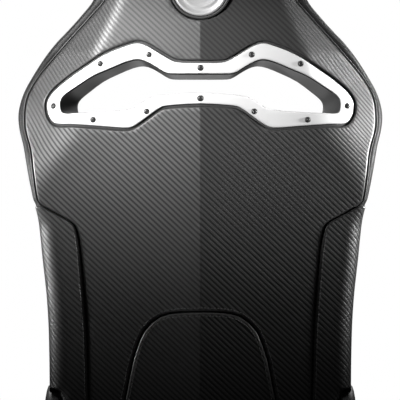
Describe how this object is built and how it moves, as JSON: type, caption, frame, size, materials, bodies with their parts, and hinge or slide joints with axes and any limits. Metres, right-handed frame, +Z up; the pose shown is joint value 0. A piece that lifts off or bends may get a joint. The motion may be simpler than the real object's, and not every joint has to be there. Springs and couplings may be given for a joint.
{
  "type": "reclining racing seat",
  "caption": "High-backed sports seat with a wide harness slot through the backrest, that reclines by a side lever and slides on floor rails.",
  "frame": {"origin": "centre of the four floor bolts, on the floor plane", "axes": "+Z up, +Y towards the front of the seat where the occupant faces, +X to the right seen from behind"},
  "size_m": [0.5518, 0.6484, 0.983],
  "materials": {
    "bare_steel": "zinc plated, satin",
    "black_frame": "black powder coat",
    "black_plastic": "fine grain moulded plastic",
    "grip_rubber": "soft matt grip",
    "upholstery": "black upholstery over foam",
    "weave_skin": "satin carbon-look twill skin on a moulded shell",
    "silver_trim": "satin silver paint",
    "emblem_metal": "brushed, slightly domed",
    "screw_black": "black oxide"
  },
  "bodies": {
    "floor_rails": {"lower_rail_left": "bare_steel", "lower_rail_right": "bare_steel", "rail_end_stops": "black_plastic"},
    "rolling_cages": {"roller_cages": "black_plastic", "rail_rollers": "bare_steel"},
    "seat_base": {"upper_rail_left": "bare_steel", "upper_rail_right": "bare_steel", "rail_bolts": "bare_steel", "side_frame_left": "black_frame", "side_frame_right": "black_frame", "pan_front_tube": "black_frame", "pan_rear_tube": "black_frame", "seat_pan": "black_frame", "cushion_pad": "upholstery", "cushion_front_roll": "upholstery", "thigh_bolster_left": "upholstery", "thigh_bolster_right": "upholstery", "side_trim_left": "black_plastic", "side_trim_right": "black_plastic", "recliner_plates": "bare_steel", "pivot_bolts": "bare_steel", "pawl_pins": "bare_steel", "bar_pins": "bare_steel", "recliner_cover_left": "black_plastic", "recliner_cover_right": "black_plastic"},
    "recline_lever": {"release_shaft": "bare_steel", "release_cams": "bare_steel", "lever_arm": "black_frame", "lever_grip": "grip_rubber"},
    "left_pawl": {"pawl_left": "bare_steel"},
    "right_pawl": {"pawl_right": "bare_steel"},
    "slide_lock_bar": {"slide_bar": "black_frame", "slide_bar_grip": "grip_rubber", "latch_plates": "bare_steel"},
    "backrest": {"back_shell": "weave_skin", "side_panel_left": "weave_skin", "side_panel_right": "weave_skin", "lower_back_panel": "weave_skin", "rear_bezel": "silver_trim", "bezel_screws": "screw_black", "slot_liner": "black_plastic", "front_bezel": "silver_trim", "emblem_ring": "black_plastic", "emblem_disc": "emblem_metal", "back_hoop": "black_frame", "back_cross_tubes": "black_frame", "back_wires": "bare_steel", "recliner_arm_left": "bare_steel", "recliner_arm_right": "bare_steel", "recline_springs": "bare_steel", "head_pad": "upholstery", "upper_centre_pad": "upholstery", "lower_centre_pad": "upholstery", "shoulder_bolster_left": "upholstery", "shoulder_bolster_right": "upholstery", "side_bolster_left": "upholstery", "side_bolster_right": "upholstery"}
  },
  "joints": [
    {"name": "fore_aft", "type": "slide", "parent": "floor_rails", "child": "seat_base", "axis": [0, 1, 0], "range_m": [-0.11, 0.11]},
    {"name": "cage_roll", "type": "slide", "parent": "floor_rails", "child": "rolling_cages", "axis": [0, 1, 0], "range_m": [-0.055, 0.055]},
    {"name": "recline", "type": "hinge", "parent": "seat_base", "child": "backrest", "pos_m": [0, -0.19, 0.2], "axis": [1, 0, 0], "range_deg": [-10, 55]},
    {"name": "recline_release", "type": "hinge", "parent": "seat_base", "child": "recline_lever", "pos_m": [0, -0.12, 0.12], "axis": [1, 0, 0], "range_deg": [0, 25], "stiffness_Nm_per_rad": 2, "springref_deg": -20.05},
    {"name": "left_pawl_swing", "type": "hinge", "parent": "seat_base", "child": "left_pawl", "pos_m": [-0.193, -0.139, 0.164], "axis": [1, 0, 0], "range_deg": [0, 8]},
    {"name": "right_pawl_swing", "type": "hinge", "parent": "seat_base", "child": "right_pawl", "pos_m": [0.193, -0.139, 0.164], "axis": [1, 0, 0], "range_deg": [0, 8]},
    {"name": "slide_release", "type": "hinge", "parent": "seat_base", "child": "slide_lock_bar", "pos_m": [0, 0.1, 0.034], "axis": [1, 0, 0], "range_deg": [0, 10], "stiffness_Nm_per_rad": 3, "springref_deg": -17.19}
  ],
  "couplings": [
    {"joint": "cage_roll", "follows": "fore_aft", "ratio": 0.5},
    {"joint": "left_pawl_swing", "follows": "recline_release", "ratio": 0.32},
    {"joint": "right_pawl_swing", "follows": "recline_release", "ratio": 0.32}
  ]
}
